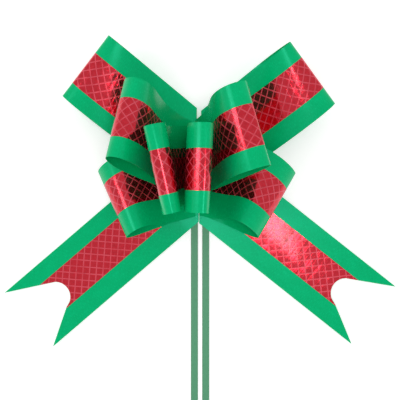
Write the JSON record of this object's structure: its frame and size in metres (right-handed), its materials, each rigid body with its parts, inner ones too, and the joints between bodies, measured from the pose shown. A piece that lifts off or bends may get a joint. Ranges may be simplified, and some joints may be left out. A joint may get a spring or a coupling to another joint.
{
  "type": "pull bow",
  "caption": "Butterfly pull bow of satin ribbon with a foil band: looped ribbons fanned from a gathered middle, swallow-tailed ends and flat pull strings for closing gift wrapping.",
  "frame": {"origin": "centre of the back seal's outer face, where the gather axis meets the surface the bow lies on", "axes": "+Z out of the front of the bow, +Y towards its top edge (away from the pull strings), +X to its right as seen from the front"},
  "size_m": [0.2702, 0.3095, 0.0825],
  "materials": {
    "satin_ribbon": "satin polypropylene ribbon with a fine crosswise grain",
    "red_foil": "red metallised foil embossed with a diamond lattice",
    "string": "narrow flat curling ribbon, slightly duller than the wide one",
    "seal": "ribbon fused by heat, smooth and darker",
    "tie": "thin flat tie"
  },
  "bodies": {
    "root": {"back_seal": "seal", "inner_seal_1": "seal", "inner_seal_2": "seal", "inner_seal_3": "seal", "front_seal": "seal", "left_string_core": "string", "right_string_core": "string"},
    "left_tail": {"left_tail": "satin_ribbon", "left_tail_foil": "red_foil"},
    "left_back_loop": {"left_back_loop": "satin_ribbon", "left_back_loop_foil": "red_foil"},
    "left_lower_loop": {"left_lower_loop": "satin_ribbon", "left_lower_loop_foil": "red_foil"},
    "left_upper_loop": {"left_upper_loop": "satin_ribbon", "left_upper_loop_foil": "red_foil"},
    "left_centre_loop": {"left_centre_loop": "satin_ribbon", "left_centre_loop_foil": "red_foil"},
    "left_string": {"left_string": "string", "left_string_coil": "string", "left_coil_tie": "tie"},
    "right_tail": {"right_tail": "satin_ribbon", "right_tail_foil": "red_foil"},
    "right_back_loop": {"right_back_loop": "satin_ribbon", "right_back_loop_foil": "red_foil"},
    "right_lower_loop": {"right_lower_loop": "satin_ribbon", "right_lower_loop_foil": "red_foil"},
    "right_upper_loop": {"right_upper_loop": "satin_ribbon", "right_upper_loop_foil": "red_foil"},
    "right_centre_loop": {"right_centre_loop": "satin_ribbon", "right_centre_loop_foil": "red_foil"},
    "right_string": {"right_string": "string", "right_string_coil": "string", "right_coil_tie": "tie"}
  },
  "joints": [
    {"name": "left_tail_fold", "type": "hinge", "parent": "root", "child": "left_tail", "pos_m": [-0.0013, -0.0003, 0.0007], "axis": [0, 1, 0], "range_deg": [-2, 0]},
    {"name": "left_back_loop_fold", "type": "hinge", "parent": "root", "child": "left_back_loop", "pos_m": [-0.0013, 0.013, 0.003], "axis": [0, 1, 0], "range_deg": [0, 2.5]},
    {"name": "left_lower_loop_fold", "type": "hinge", "parent": "root", "child": "left_lower_loop", "pos_m": [-0.0022, 0.0008, 0.006], "axis": [0, 1, 0], "range_deg": [0, 2]},
    {"name": "left_upper_loop_fold", "type": "hinge", "parent": "root", "child": "left_upper_loop", "pos_m": [-0.0048, 0.0093, 0.01], "axis": [0, 1, 0], "range_deg": [-2, 1]},
    {"name": "left_centre_loop_fold", "type": "hinge", "parent": "root", "child": "left_centre_loop", "pos_m": [-0.0068, 0.0064, 0.015], "axis": [0, 1, 0], "range_deg": [-2, 0.5]},
    {"name": "left_string_pull", "type": "slide", "parent": "root", "child": "left_string", "axis": [0, -1, 0], "range_m": [0, 0.006]},
    {"name": "right_tail_fold", "type": "hinge", "parent": "root", "child": "right_tail", "pos_m": [0.0013, -0.0024, 0.0007], "axis": [0, -1, 0], "range_deg": [-2, 0]},
    {"name": "right_back_loop_fold", "type": "hinge", "parent": "root", "child": "right_back_loop", "pos_m": [0.0013, 0.011, 0.003], "axis": [0, -1, 0], "range_deg": [0, 3]},
    {"name": "right_lower_loop_fold", "type": "hinge", "parent": "root", "child": "right_lower_loop", "pos_m": [0.0002, 0.0034, 0.006], "axis": [0, -1, 0], "range_deg": [0, 2]},
    {"name": "right_upper_loop_fold", "type": "hinge", "parent": "root", "child": "right_upper_loop", "pos_m": [-0.0022, 0.0106, 0.01], "axis": [0, -1, 0], "range_deg": [-2, 1]},
    {"name": "right_centre_loop_fold", "type": "hinge", "parent": "root", "child": "right_centre_loop", "pos_m": [-0.0032, 0.0007, 0.015], "axis": [0, -1, 0], "range_deg": [-2, 0.5]},
    {"name": "right_string_pull", "type": "slide", "parent": "root", "child": "right_string", "axis": [0, -1, 0], "range_m": [0, 0.006]}
  ]
}
